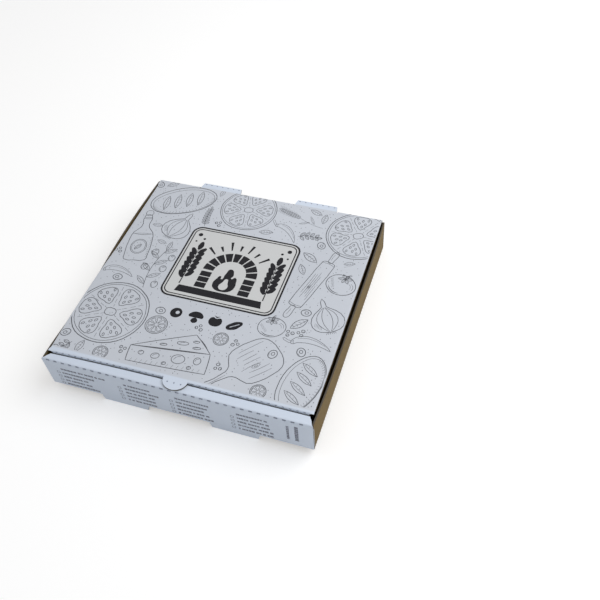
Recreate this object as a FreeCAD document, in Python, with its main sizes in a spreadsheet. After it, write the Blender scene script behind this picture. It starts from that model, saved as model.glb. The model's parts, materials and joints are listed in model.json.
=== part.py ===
import FreeCAD, Part
import math
import os
import re
import Sketcher

# Pizza box folded from one die-cut sheet of thin fluted board.
# The tray holds the base, the four walls, the rolled front rim and the corner flaps.
# The lid hangs on the back wall's top crease and tucks in at the front and at both sides.
# Millimetres. Each body is drawn about the middle of the base, with the base's underside at height
# zero, X to the right, Y to the back and Z up, and is then set on its two feet by its placement.

SIZES = {
    # outside of the walls, and the board
    "box_width": 266,
    "box_depth": 262,
    "wall_height": 41,
    "board": 1.5,
    "fold_inside": 0.4,
    "layer_gap": 0.3,
    # rolled front rim and its inner flap
    "rim_depth": 10,
    "rim_mitre": 4.5,
    "inner_flap_lean": 4.5,
    # feet cut from the base under the front wall
    "foot_width": 50,
    "foot_taper": 2,
    "foot_drop": 6.5,
    "foot_spacing": 112,
    "tab_width": 38,
    # corner flaps folded off the side walls
    "corner_flap": 38,
    # lid and its tuck flaps
    "lid_gap": 0.5,
    "lid_side_gap": 1,
    "lid_front_gap": 0.8,
    "side_tuck": 34,
    "side_tuck_relief": 4,
    "side_tuck_taper": 16,
    "front_tuck": 31,
    "front_tuck_lean": 2.8,
    "front_tuck_relief": 4,
    "front_tuck_taper": 12,
    "hinge_relief": 9,
    # tongues cut from the back wall, and the thumb tongue
    "tongue_width": 49,
    "tongue_taper": 2,
    "tongue_reach": 6.5,
    "notch_gap": 1,
    "thumb_width": 24,
    "thumb_notch_gap": 0.4,
    # perforation along the rim's crease and the lid's front crease
    "cut_length": 2.4,
    "cut_height": 0.7,
    "cut_depth": 0.8,
    "rim_cut_pitch": 7.8,
    "lid_cut_pitch": 6.6,
    # short cuts across the tongues, in from the edge of the back ones and out from the thumb's fold
    "dot_length": 1.2,
    "dot_inset": 1.8,
    "thumb_dot_reach": 3.6,
}

doc = FreeCAD.newDocument("pizza_box")

sheet = doc.addObject("Spreadsheet::Sheet", "sizes")
for row, (alias, number) in enumerate(SIZES.items(), start=1):
    sheet.set(f"A{row}", alias)
    sheet.set(f"B{row}", str(number))
    sheet.setAlias(f"B{row}", alias)
doc.recompute()


def bound(formula):
    """The formula as an expression on the sheet: every word in it is a size."""
    return re.sub(r"[a-z]\w+", lambda word: f"sizes.{word.group()}", formula)


def value(formula):
    return float(sheet.evalExpression(bound(formula)))


# Places that several features share, as formulas of the sizes
FOLD_OUTSIDE = "(board + fold_inside)"
HALF_WIDTH = "(box_width / 2)"
HALF_DEPTH = "(box_depth / 2)"
LID_UNDER = "(wall_height + lid_gap)"
LID_TOP = "(wall_height + lid_gap + board)"
LID_HALF = "(box_width / 2 - board - lid_side_gap)"
LID_FRONT = "(rim_depth + lid_front_gap - box_depth / 2)"
ABOVE_BASE = "(board + layer_gap)"
RIM_UNDER = "(wall_height - board)"
CORNER_FLAP_TOP = "(wall_height - board - layer_gap)"
CORNER_START = f"({HALF_DEPTH} - board - layer_gap - {FOLD_OUTSIDE})"


def new_sketch(body, name, plane_role, offset="0"):
    sketch = body.newObject("Sketcher::SketchObject", name)
    plane = next(item for item in body.Origin.OriginFeatures if item.Role == plane_role)
    sketch.AttachmentSupport = [(plane, "")]
    sketch.MapMode = "FlatFace"
    sketch.setExpression("AttachmentOffset.Base.z", bound(offset))
    return sketch


def arc_through(start, end, radius, turn):
    """The shorter arc from start to end that turns left (1) or right (-1)."""
    chord = end - start
    rise = math.sqrt(max(radius ** 2 - (chord.Length / 2) ** 2, 0))
    left = FreeCAD.Vector(-chord.y, chord.x, 0).normalize()
    centre = (start + end) / 2 + left * rise * turn
    first, last = (start, end) if turn > 0 else (end, start)
    angles = [math.atan2(point.y - centre.y, point.x - centre.x) for point in (first, last)]
    if angles[1] < angles[0]:
        angles[1] += 2 * math.pi
    circle = Part.Circle(centre, FreeCAD.Vector(0, 0, 1), radius)
    return Part.ArcOfCircle(circle, *angles)


def outline(sketch, corners):
    """One closed outline. A corner is (across, up), or (across, up, turn, radius) where an arc leaves it."""
    points = [FreeCAD.Vector(value(corner[0]), value(corner[1]), 0) for corner in corners]
    count = len(corners)
    starts = []
    ends = []
    for index, corner in enumerate(corners):
        start, end = points[index], points[(index + 1) % count]
        turn = corner[2] if len(corner) > 2 else 0
        if turn:
            edge = sketch.addGeometry(arc_through(start, end, value(corner[3]), turn))
            limit = sketch.addConstraint(Sketcher.Constraint("Radius", edge, value(corner[3])))
            sketch.setExpression(f"Constraints[{limit}]", bound(corner[3]))
        else:
            edge = sketch.addGeometry(Part.LineSegment(start, end))
        starts.append((edge, 1 if turn >= 0 else 2))
        ends.append((edge, 2 if turn >= 0 else 1))
    for index, corner in enumerate(corners):
        sketch.addConstraint(Sketcher.Constraint("Coincident", *ends[index - 1], *starts[index]))
        for kind, place, formula in (("DistanceX", points[index].x, corner[0]),
                                     ("DistanceY", points[index].y, corner[1])):
            limit = sketch.addConstraint(Sketcher.Constraint(kind, -1, 1, *starts[index], place))
            sketch.setExpression(f"Constraints[{limit}]", bound(formula))


def sweep(body, kind, name, sketch, length, symmetric=False, reverse=False):
    """A Pad or a Pocket of the sketch."""
    feature = body.newObject(f"PartDesign::{kind}", name)
    feature.Profile = sketch
    feature.setExpression("Length", bound(length))
    feature.SideType = "Symmetric" if symmetric else "One side"
    feature.Reversed = reverse
    doc.recompute()
    return feature


def row_of_cuts(body, name, pitch, half_span, height, face):
    """Perforation slits along a crease, sunk into the wall face that looks to the front."""
    sketch = new_sketch(body, f"{name}_sketch", "XZ_Plane", f"-({face})")
    left, right = f"-{half_span}", f"cut_length - {half_span}"
    bottom, top = f"{height} - cut_height", height
    outline(sketch, [(left, bottom), (right, bottom), (right, top), (left, top)])
    slit = sweep(body, "Pocket", f"{name}_slit", sketch, "cut_depth")
    row = body.newObject("PartDesign::LinearPattern", name)
    row.Originals = [slit]
    row.Direction = (sketch, ["H_Axis"])
    row.setExpression("Length", bound(f"2 * {half_span} - cut_length"))
    row.setExpression("Occurrences", f"floor({bound(f'(2 * {half_span} - cut_length) / {pitch}')}) + 1")
    body.Tip = row
    doc.recompute()


def front_and_back_walls(body):
    """Front wall rolled over into the rim and its inner flap, and the back wall, with their lower folds."""
    section = new_sketch(body, "front_section", "YZ_Plane")
    rim_back = f"rim_depth - {HALF_DEPTH}"
    flap_foot = f"rim_depth - inner_flap_lean - {HALF_DEPTH}"
    outline(section, [
        (f"{FOLD_OUTSIDE} - {HALF_DEPTH}", "0", -1, FOLD_OUTSIDE),
        (f"-{HALF_DEPTH}", FOLD_OUTSIDE),
        (f"-{HALF_DEPTH}", f"wall_height - {FOLD_OUTSIDE}", -1, FOLD_OUTSIDE),
        (f"{FOLD_OUTSIDE} - {HALF_DEPTH}", "wall_height"),
        (f"{rim_back} - {FOLD_OUTSIDE}", "wall_height", -1, FOLD_OUTSIDE),
        (rim_back, f"wall_height - {FOLD_OUTSIDE}"),
        (flap_foot, ABOVE_BASE),
        (f"{flap_foot} - board", ABOVE_BASE),
        (f"{rim_back} - board", f"wall_height - {FOLD_OUTSIDE}", 1, "fold_inside"),
        (f"{rim_back} - {FOLD_OUTSIDE}", RIM_UNDER),
        (f"{FOLD_OUTSIDE} - {HALF_DEPTH}", RIM_UNDER, 1, "fold_inside"),
        (f"board - {HALF_DEPTH}", f"wall_height - {FOLD_OUTSIDE}"),
        (f"board - {HALF_DEPTH}", FOLD_OUTSIDE, 1, "fold_inside"),
        (f"{FOLD_OUTSIDE} - {HALF_DEPTH}", "board"),
    ])
    sweep(body, "Pad", "front_wall", section, "box_width", symmetric=True)

    mitre = new_sketch(body, "mitre_sketch", "XY_Plane", "-foot_drop")
    for side in ("", "-"):
        outside = f"{side}({HALF_WIDTH} + board)"
        wall = f"{side}({HALF_WIDTH} - board - layer_gap)"
        inner = f"{side}({HALF_WIDTH} - board - rim_mitre)"
        outline(mitre, [
            (outside, f"board - {HALF_DEPTH}"),
            (wall, f"board - {HALF_DEPTH}"),
            (inner, rim_back),
            (inner, f"{rim_back} + board"),
            (outside, f"{rim_back} + board"),
        ])
    sweep(body, "Pocket", "rim_mitres", mitre, "wall_height + 2 * foot_drop", reverse=True)

    section = new_sketch(body, "back_section", "YZ_Plane")
    outline(section, [
        (f"{HALF_DEPTH} - {FOLD_OUTSIDE}", "0", 1, FOLD_OUTSIDE),
        (HALF_DEPTH, FOLD_OUTSIDE),
        (HALF_DEPTH, "wall_height"),
        (f"{HALF_DEPTH} - board", "wall_height"),
        (f"{HALF_DEPTH} - board", FOLD_OUTSIDE, -1, "fold_inside"),
        (f"{HALF_DEPTH} - {FOLD_OUTSIDE}", "board"),
    ])
    sweep(body, "Pad", "back_wall", section, "box_width", symmetric=True)


def base_and_side_walls(body):
    """Flat base, and one folded section that carries both side walls between the corner folds."""
    plan = new_sketch(body, "base_sketch", "XY_Plane")
    across = f"{HALF_WIDTH} - {FOLD_OUTSIDE}"
    along = f"{HALF_DEPTH} - {FOLD_OUTSIDE}"
    outline(plan, [(f"-({across})", f"-({along})"), (across, f"-({along})"),
                   (across, along), (f"-({across})", along)])
    sweep(body, "Pad", "base", plan, "board")

    section = new_sketch(body, "side_section", "XZ_Plane")
    outline(section, [
        (f"-{HALF_WIDTH}", "wall_height"),
        (f"-{HALF_WIDTH}", FOLD_OUTSIDE, 1, FOLD_OUTSIDE),
        (f"-({across})", "0"),
        (across, "0", 1, FOLD_OUTSIDE),
        (HALF_WIDTH, FOLD_OUTSIDE),
        (HALF_WIDTH, "wall_height"),
        (f"{HALF_WIDTH} - board", "wall_height"),
        (f"{HALF_WIDTH} - board", FOLD_OUTSIDE, -1, "fold_inside"),
        (across, "board"),
        (f"-({across})", "board", -1, "fold_inside"),
        (f"board - {HALF_WIDTH}", FOLD_OUTSIDE),
        (f"board - {HALF_WIDTH}", "wall_height"),
    ])
    sweep(body, "Pad", "side_walls", section, f"2 * {CORNER_START}", symmetric=True)


def corner_flaps(body):
    """The four flaps that fold off the side walls' ends and stand inside the front and back walls."""
    plan = new_sketch(body, "corner_sketch", "XY_Plane", ABOVE_BASE)
    reach = f"({CORNER_START} + {FOLD_OUTSIDE})"
    for side in (1, -1):
        for end in (1, -1):
            across = f"{side} * "
            along = f"{end} * "
            turn = side * end
            outline(plan, [
                (f"{across}{HALF_WIDTH}", f"{along}{CORNER_START}", turn, FOLD_OUTSIDE),
                (f"{across}({HALF_WIDTH} - {FOLD_OUTSIDE})", f"{along}{reach}"),
                (f"{across}({HALF_WIDTH} - corner_flap)", f"{along}{reach}"),
                (f"{across}({HALF_WIDTH} - corner_flap)", f"{along}({reach} - board)"),
                (f"{across}({HALF_WIDTH} - {FOLD_OUTSIDE})", f"{along}({reach} - board)",
                 -turn, "fold_inside"),
                (f"{across}({HALF_WIDTH} - board)", f"{along}{CORNER_START}"),
            ])
    sweep(body, "Pad", "corner_flaps", plan, f"{CORNER_FLAP_TOP} - {ABOVE_BASE}")


def feet_and_slots(body):
    """Feet left standing below the front wall, their slots in the base and the inner flap's tabs in them."""
    slots = new_sketch(body, "slot_sketch", "XY_Plane", "-board")
    feet = new_sketch(body, "foot_sketch", "XZ_Plane", f"{HALF_DEPTH} - board")
    tabs = new_sketch(body, "tab_sketch", "XZ_Plane",
                      f"{HALF_DEPTH} - rim_depth + inner_flap_lean")
    for side in ("-", ""):
        centre = f"{side}foot_spacing / 2"
        left, right = f"{centre} - foot_width / 2", f"{centre} + foot_width / 2"
        outline(slots, [
            (left, f"board - {HALF_DEPTH}"),
            (right, f"board - {HALF_DEPTH}"),
            (f"{right} - foot_taper", f"board + foot_drop - {HALF_DEPTH}"),
            (f"{left} + foot_taper", f"board + foot_drop - {HALF_DEPTH}"),
        ])
        outline(feet, [
            (f"{left} + foot_taper", "-foot_drop"),
            (f"{right} - foot_taper", "-foot_drop"),
            (right, "0"),
            (right, f"2 * {FOLD_OUTSIDE}"),
            (left, f"2 * {FOLD_OUTSIDE}"),
            (left, "0"),
        ])
        outline(tabs, [
            (f"{centre} - tab_width / 2", "0"),
            (f"{centre} + tab_width / 2", "0"),
            (f"{centre} + tab_width / 2", f"2 * {ABOVE_BASE}"),
            (f"{centre} - tab_width / 2", f"2 * {ABOVE_BASE}"),
        ])
    sweep(body, "Pocket", "base_slots", slots, "board * 3", reverse=True)
    sweep(body, "Pad", "feet", feet, "board")
    sweep(body, "Pad", "flap_tabs", tabs, "board")


def tongue_notches(body):
    """Notches in the back wall's top edge, where the lid's two tongues were cut out of it."""
    sketch = new_sketch(body, "notch_sketch", "XZ_Plane", f"-({HALF_DEPTH} + board)")
    for side in ("-", ""):
        centre = f"{side}foot_spacing / 2"
        half = "(tongue_width / 2 + notch_gap)"
        floor = "wall_height - tongue_reach - notch_gap"
        outline(sketch, [
            (f"{centre} - {half} + tongue_taper", floor),
            (f"{centre} + {half} - tongue_taper", floor),
            (f"{centre} + {half}", "wall_height + board"),
            (f"{centre} - {half}", "wall_height + board"),
        ])
    sweep(body, "Pocket", "tongue_notches", sketch, "board * 2.5", reverse=True)


def make_tray():
    body = doc.addObject("PartDesign::Body", "tray")
    front_and_back_walls(body)
    base_and_side_walls(body)
    corner_flaps(body)
    feet_and_slots(body)
    tongue_notches(body)
    row_of_cuts(body, "rim_perforation", "rim_cut_pitch", f"({HALF_WIDTH} - rim_mitre)",
                f"wall_height - {FOLD_OUTSIDE}", f"-{HALF_DEPTH}")
    return body


def front_tuck_flap(body):
    """Flap folded down behind the rim, leaning inwards, with the thumb tongue's hole at its fold."""
    section = new_sketch(body, "tuck_section", "YZ_Plane")
    outline(section, [
        (f"{LID_FRONT} + {FOLD_OUTSIDE}", LID_UNDER),
        (f"{LID_FRONT} + {FOLD_OUTSIDE}", LID_TOP, 1, FOLD_OUTSIDE),
        (LID_FRONT, f"{LID_TOP} - {FOLD_OUTSIDE}"),
        (f"{LID_FRONT} + front_tuck_lean", f"{LID_TOP} - front_tuck"),
        (f"{LID_FRONT} + front_tuck_lean + board", f"{LID_TOP} - front_tuck"),
        (f"{LID_FRONT} + board", f"{LID_TOP} - {FOLD_OUTSIDE}", -1, "fold_inside"),
    ])
    sweep(body, "Pad", "front_tuck", section, f"2 * ({LID_HALF} - front_tuck_relief)", symmetric=True)

    ends = new_sketch(body, "tuck_ends", "XZ_Plane", f"board - {LID_FRONT}")
    for side in (1, -1):
        across = f"{side} * "
        outline(ends, [
            (f"{across}{LID_HALF}", f"{LID_UNDER} - board"),
            (f"{across}({LID_HALF} - front_tuck_relief)", f"{LID_UNDER} - board"),
            (f"{across}({LID_HALF} - front_tuck_taper)", f"{LID_TOP} - front_tuck"),
            (f"{across}({LID_HALF} - front_tuck_taper)", f"{LID_TOP} - front_tuck - board"),
            (f"{across}{LID_HALF}", f"{LID_TOP} - front_tuck - board"),
        ])
    sweep(body, "Pocket", "front_tuck_ends", ends, "front_tuck_lean + 4 * board")


def panel_and_side_flaps(body):
    """Lid panel with its two side tuck flaps, which start clear of the front flap and of the hinge."""
    across = f"({LID_HALF} - {FOLD_OUTSIDE})"
    front = f"({LID_FRONT} + side_tuck_relief)"
    back = f"({HALF_DEPTH} - hinge_relief)"
    tuck_half = f"({LID_HALF} - front_tuck_relief)"
    right_side = [
        (tuck_half, f"{LID_FRONT} + {FOLD_OUTSIDE}"),
        (tuck_half, LID_FRONT),
        (LID_HALF, LID_FRONT),
        (LID_HALF, front),
        (across, front),
        (across, back),
        (LID_HALF, back),
        (LID_HALF, HALF_DEPTH),
    ]
    left_side = [(f"-{place[0]}", place[1]) for place in reversed(right_side)]
    plan = new_sketch(body, "panel_sketch", "XY_Plane", LID_UNDER)
    outline(plan, right_side + left_side)
    sweep(body, "Pad", "panel", plan, "board")

    section = new_sketch(body, "side_tuck_section", "XZ_Plane", f"-{back}")
    for side in (1, -1):
        sign = f"{side} * "
        outline(section, [
            (f"{sign}{across}", LID_TOP, -side, FOLD_OUTSIDE),
            (f"{sign}{LID_HALF}", f"{LID_TOP} - {FOLD_OUTSIDE}"),
            (f"{sign}{LID_HALF}", f"{LID_TOP} - side_tuck"),
            (f"{sign}({LID_HALF} - board)", f"{LID_TOP} - side_tuck"),
            (f"{sign}({LID_HALF} - board)", f"{LID_TOP} - {FOLD_OUTSIDE}", side, "fold_inside"),
            (f"{sign}{across}", LID_UNDER),
        ])
    sweep(body, "Pad", "side_tucks", section, f"{back} - {front}")

    ends = new_sketch(body, "side_tuck_ends", "YZ_Plane")
    for corner, inward in ((front, 1), (back, -1)):
        slope = f"{corner} + {inward} * side_tuck_taper"
        outline(ends, [
            (f"{corner} - {inward} * board", f"{LID_UNDER} - board"),
            (corner, f"{LID_UNDER} - board"),
            (slope, f"{LID_TOP} - side_tuck"),
            (slope, f"{LID_TOP} - side_tuck - board"),
            (f"{corner} - {inward} * board", f"{LID_TOP} - side_tuck - board"),
        ])
    sweep(body, "Pocket", "side_tuck_tapers", ends, "box_width", symmetric=True)


def thumb_tongue(body):
    """Rounded tongue that lies on the rim, left standing when the front tuck flap was folded."""
    reach = f"(rim_depth + lid_front_gap)"
    radius = f"((thumb_width ^ 2 / 4 + {reach} ^ 2) / (2 * {reach}))"
    hole = f"({reach} + thumb_notch_gap)"
    hole_radius = f"((thumb_width ^ 2 / 4 + {hole} ^ 2) / (2 * {hole}))"
    sketch = new_sketch(body, "thumb_hole_sketch", "XZ_Plane", f"-({LID_FRONT} + {FOLD_OUTSIDE})")
    outline(sketch, [
        ("-thumb_width / 2", LID_TOP, 1, hole_radius),
        ("0", f"{LID_TOP} - {hole}", 1, hole_radius),
        ("thumb_width / 2", LID_TOP),
        ("thumb_width / 2", f"{LID_TOP} + board"),
        ("-thumb_width / 2", f"{LID_TOP} + board"),
    ])
    sweep(body, "Pocket", "thumb_hole", sketch, "4 * board", reverse=True)

    sketch = new_sketch(body, "thumb_sketch", "XY_Plane", LID_UNDER)
    outline(sketch, [
        ("-thumb_width / 2", LID_FRONT, 1, radius),
        ("0", f"-{HALF_DEPTH}", 1, radius),
        ("thumb_width / 2", LID_FRONT),
        ("thumb_width / 2", f"{LID_FRONT} + {FOLD_OUTSIDE}"),
        ("-thumb_width / 2", f"{LID_FRONT} + {FOLD_OUTSIDE}"),
    ])
    sweep(body, "Pad", "thumb", sketch, "board")


def back_tongues(body):
    """Two tongues that stand out behind the hinge crease in the plane of the lid."""
    sketch = new_sketch(body, "tongue_sketch", "XY_Plane", LID_UNDER)
    for side in ("-", ""):
        centre = f"{side}foot_spacing / 2"
        left, right = f"{centre} - tongue_width / 2", f"{centre} + tongue_width / 2"
        outline(sketch, [
            (left, f"{HALF_DEPTH} - board"),
            (right, f"{HALF_DEPTH} - board"),
            (right, HALF_DEPTH),
            (f"{right} - tongue_taper", f"{HALF_DEPTH} + tongue_reach"),
            (f"{left} + tongue_taper", f"{HALF_DEPTH} + tongue_reach"),
            (left, HALF_DEPTH),
        ])
    sweep(body, "Pad", "back_tongues", sketch, "board")


def tongue_dots(body):
    """Rows of short cuts across the tongues, sunk into the lid's top face."""
    sketch = new_sketch(body, "dot_sketch", "XY_Plane", LID_TOP)
    back_count = int(value("(tongue_width - 2 * tongue_taper) / lid_cut_pitch")) + 1
    thumb_count = int(value("thumb_width / lid_cut_pitch"))
    back_edge = f"({HALF_DEPTH} + tongue_reach - dot_inset)"
    thumb_edge = f"({LID_FRONT} - thumb_dot_reach)"
    rows = [("-foot_spacing / 2", back_edge, back_count),
            ("foot_spacing / 2", back_edge, back_count),
            ("0", thumb_edge, thumb_count)]
    for centre, edge, count in rows:
        for index in range(count):
            middle = f"{centre} + {index - (count - 1) / 2} * lid_cut_pitch"
            left, right = f"{middle} - dot_length / 2", f"{middle} + dot_length / 2"
            outline(sketch, [(left, f"{edge} - cut_height"), (right, f"{edge} - cut_height"),
                             (right, edge), (left, edge)])
    sweep(body, "Pocket", "tongue_dots", sketch, "cut_depth")


def make_lid():
    body = doc.addObject("PartDesign::Body", "lid")
    front_tuck_flap(body)
    row_of_cuts(body, "lid_perforation", "lid_cut_pitch", f"({LID_HALF} - front_tuck_relief)",
                f"{LID_TOP} - {FOLD_OUTSIDE}", LID_FRONT)
    panel_and_side_flaps(body)
    thumb_tongue(body)
    back_tongues(body)
    tongue_dots(body)
    return body


parts = [make_tray(), make_lid()]

# The overall box is centred over the origin, with the feet's ends on the ground.
for body in parts:
    body.setExpression("Placement.Base.y", bound("-tongue_reach / 2"))
    body.setExpression("Placement.Base.z", bound("foot_drop"))
doc.recompute()

for item in doc.Objects:
    if any(word in ("Invalid", "Error") for word in item.State):
        raise RuntimeError(f"{item.Name} failed: {item.State}")
for body in parts:
    if body.Shape.isNull() or not body.Shape.isValid() or len(body.Shape.Solids) != 1:
        raise RuntimeError(f"{body.Label} is not one valid solid")

os.makedirs("parts", exist_ok=True)
for body in parts:
    body.Shape.exportStep(f"parts/{body.Label}.step")
    room = body.Shape.BoundBox
    print(body.Label, f"volume {body.Shape.Volume:.0f} mm3, X {room.XMin:.2f} to {room.XMax:.2f},",
          f"Y {room.YMin:.2f} to {room.YMax:.2f}, Z {room.ZMin:.2f} to {room.ZMax:.2f}")
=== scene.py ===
import bmesh
import bpy
import json
import math
import random
from mathutils import Matrix, Vector


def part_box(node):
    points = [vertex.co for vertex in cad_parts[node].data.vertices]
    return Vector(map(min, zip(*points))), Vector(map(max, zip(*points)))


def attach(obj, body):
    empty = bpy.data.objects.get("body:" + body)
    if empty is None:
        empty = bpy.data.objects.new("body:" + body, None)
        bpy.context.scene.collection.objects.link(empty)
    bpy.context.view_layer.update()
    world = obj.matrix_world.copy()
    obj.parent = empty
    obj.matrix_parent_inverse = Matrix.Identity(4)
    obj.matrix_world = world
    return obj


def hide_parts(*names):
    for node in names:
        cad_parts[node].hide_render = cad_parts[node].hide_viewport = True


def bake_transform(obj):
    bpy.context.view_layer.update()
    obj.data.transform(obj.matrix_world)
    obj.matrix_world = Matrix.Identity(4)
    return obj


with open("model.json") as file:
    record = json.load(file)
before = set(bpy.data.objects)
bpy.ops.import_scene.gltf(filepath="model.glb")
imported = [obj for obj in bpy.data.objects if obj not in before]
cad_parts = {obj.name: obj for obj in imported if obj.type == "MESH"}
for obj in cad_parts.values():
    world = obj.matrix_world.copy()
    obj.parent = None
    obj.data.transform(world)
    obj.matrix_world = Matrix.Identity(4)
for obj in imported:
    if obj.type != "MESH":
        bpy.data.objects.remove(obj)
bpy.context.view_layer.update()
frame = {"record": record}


# Tray: base, front wall rolled over into the rim and its inner flap, back wall, and side walls with
# their corner flaps. It is one die-cut and folded sheet of thin fluted board, brown kraft with a white
# clay coat on the front wall and the rim. The inner flap's tabs lock it in the base, without glue.
MM = 0.001
tray_low, tray_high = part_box("tray")
mounts = {mount["name"]: Vector(mount["pos_m"]) for mount in frame["record"]["mounts"]}
HALF_WIDTH = tray_high[0]
FRONT = tray_low[1]
BACK = tray_high[1]
MIDDLE = (FRONT + BACK) / 2
BASE = mounts["base_underside"].z
WALL_TOP = tray_high[2]
BOARD = 1.5 * MM
BOARD_SQUEEZE = 0.1 * MM
RELIEF = BOARD + 0.05 * MM
FOLD = 1.5 * MM
FOLD_STEPS = 4
SMOOTH_BELOW = math.radians(40)
RIM_DEPTH = 10 * MM
RIM_OUTLINE = [(1.8, 1.6), (5.0, 2.8), (8.2, 4.8), (10.0, 5.6)]  # depth and narrowing in mm
RIM_SKEW = 2.6 * MM
INNER_FLAP_LEAN = 4.5 * MM
FOOT_SPACING = 112 * MM
FOOT_WIDTH = 50 * MM
FOOT_TAPER = 2 * MM
SLOT_REACH = 8 * MM
TAB_WIDTH = 38 * MM
CORNER_FLAP = 38 * MM
FLAP_DROP = 7 * MM
FLAP_LIFT = 3.6 * MM
NOTCH_FLOOR = WALL_TOP - 7.5 * MM
CREASE_START = WALL_TOP - 2 * MM
WALL_BOW = 2.0 * MM
WALL_DIP = 2.2 * MM
WALL_WAVE = 0.25 * MM
CORNER_FLARE = 1.2 * MM
PANEL_STEP = 13 * MM
COLUMN_SPREAD = 0.985
RIM_CUTS = 33
RIM_CUT_FIRST = -127.3 * MM
RIM_CUT_PITCH = 7.8 * MM
RIM_CUT_OUT = 0.15 * MM
RIM_CUT_DROP = 1.35 * MM
RIM_CUT_SIZE = (3.5 * MM, 1.8 * MM, 1.7 * MM)
TOUCH = 0.05 * MM
TINY = 0.01 * MM
COAT_COLOUR = (0.680, 0.755, 0.875)
# Kraft brown darkened below the paper's own tone: painted shade of the side walls.
SHADED_KRAFT_COLOUR = (0.192, 0.135, 0.057)
# Cut edge's colour: painted shade of the narrow gaps where the edge shows.
SHADED_EDGE_COLOUR = (0.105, 0.090, 0.072)
# Slits' colour: the coat's blue grey darkened as painted shade of the slits' hollows.
SLIT_SHADE_COLOUR = (0.40, 0.44, 0.53)
FLUTE_PITCH = 1.25 * MM
FLUTE_TURN = 2 * math.pi / FLUTE_PITCH


class Wire:
    """A socket that takes part in arithmetic. Any other node is made by its node method."""

    def __init__(self, tree, socket=None):
        self.tree = tree
        self.socket = socket

    def node(self, kind, settings=None, inputs=None, output=0):
        made = self.tree.nodes.new(kind)
        for name, setting in (settings or {}).items():
            setattr(made, name, setting)
        for name, value in (inputs or {}).items():
            if isinstance(value, Wire):
                self.tree.links.new(value.socket, made.inputs[name])
            else:
                made.inputs[name].default_value = value
        return Wire(self.tree, made.outputs[output])

    def maths(self, operation, first, second=0.0):
        return self.node("ShaderNodeMath", {"operation": operation}, {0: first, 1: second})

    def __add__(self, other):
        return self.maths("ADD", self, other)

    def __mul__(self, other):
        return self.maths("MULTIPLY", self, other)

    __radd__ = __add__
    __rmul__ = __mul__

    def mix(self, low, high):
        """The colour low where this is 0, high where it is 1. Either may be a wire."""
        return self.node("ShaderNodeMix", {"data_type": "RGBA"}, {0: self, 6: low, 7: high}, 2)

    def vary(self, colour, dark, light):
        return self.mix(shade(colour, dark), shade(colour, light))

    def between(self, low, high):
        """0 below low, 1 above high and a straight rise between them, which may also fall."""
        return self.node("ShaderNodeMapRange", {"clamp": True},
                         {"Value": self, "From Min": low, "From Max": high, "To Min": 0.0, "To Max": 1.0})


def shade(colour, factor):
    return (*(min(channel * factor, 1.0) for channel in colour), 1.0)


def new_material(name, colour, roughness, gloss=0.35):
    """A material with its shader, and the object's coordinates as wires x, y and z."""
    material = bpy.data.materials.new(name)
    material.use_nodes = True
    material.diffuse_color = (*colour, 1.0)
    tree = material.node_tree
    shader = tree.nodes["Principled BSDF"]
    shader.inputs["Base Color"].default_value = (*colour, 1.0)
    shader.inputs["Roughness"].default_value = roughness
    shader.inputs["Specular IOR Level"].default_value = gloss
    place = Wire(tree).node("ShaderNodeTexCoord", output=3)
    axes = [place.node("ShaderNodeSeparateXYZ", inputs={0: place}, output=axis) for axis in range(3)]
    return material, shader, place, axes


def wire_to(shader, name, wire):
    wire.tree.links.new(wire.socket, shader.inputs[name])


def dress(shader, colour, roughness=None, height=None, depth=0.0, strength=0.0):
    """Wires up a material's colour and, where they vary, its roughness and its height."""
    wire_to(shader, "Base Color", colour)
    if roughness:
        wire_to(shader, "Roughness", roughness)
    if height:
        wire_to(shader, "Normal", height.node("ShaderNodeBump", inputs={
            "Height": height, "Distance": depth, "Strength": strength}))


def noise(place, scale, detail, roughness):
    return place.node("ShaderNodeTexNoise", inputs={
        "Vector": place, "Scale": scale, "Detail": detail, "Roughness": roughness})


def paper_fleck(place):
    return noise(place, 900.0, 3.0, 0.7).between(0.3, 0.7)


def washboard(place, across):
    """Height of the flutes' faint lines, which run left to right, of the paper's fibre and its waves."""
    lines = place.maths("SINE", across * FLUTE_TURN) * 0.25
    return lines + noise(place, 2600.0, 4.0, 0.7) * 0.6 + noise(place, 22.0, 2.0, 0.5) * 2.0


def coated_board(name, printed=None):
    """The thin white clay coat, a little blue and never quite even. Print may tint it by place."""
    material, shader, place, (x, y, z) = new_material(name, COAT_COLOUR, 0.55)
    fleck = paper_fleck(place)
    even = noise(place, 9.0, 3.0, 0.6).between(0.35, 0.65) * 0.7 + fleck * 0.3
    colour = even.vary(COAT_COLOUR, 0.955, 1.035)
    if printed:
        colour = printed(colour, even, y)
    dress(shader, colour, fleck * 0.08 + 0.50, washboard(place, y), 0.05 * MM, 0.5)
    return material


def kraft_board():
    """Bare kraft paper: long wood fibres give it streaks and dark flecks, and the flutes show more. Its brown
    is darker than the paper's own, as painted shade of the side walls.
    """
    material, shader, place, (x, y, z) = new_material("kraft", SHADED_KRAFT_COLOUR, 0.75, 0.12)
    stretched = place.node("ShaderNodeMapping", {"vector_type": "POINT"},
                           {"Vector": place, "Scale": (180.0, 1400.0, 1400.0)})
    streak = noise(stretched, 1.0, 4.0, 0.65).between(0.35, 0.65)
    cloud = noise(place, 14.0, 3.0, 0.6).between(0.3, 0.7)
    speck = noise(place, 1500.0, 2.0, 0.8).between(0.68, 0.74)
    colour = (streak * 0.55 + cloud * 0.45).vary(SHADED_KRAFT_COLOUR, 0.78, 1.22)
    colour = (speck * 0.6).mix(colour, shade(SHADED_KRAFT_COLOUR, 0.45))
    dress(shader, colour, cloud * 0.1 + 0.7, washboard(place, y), 0.07 * MM, 0.6)
    return material


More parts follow.
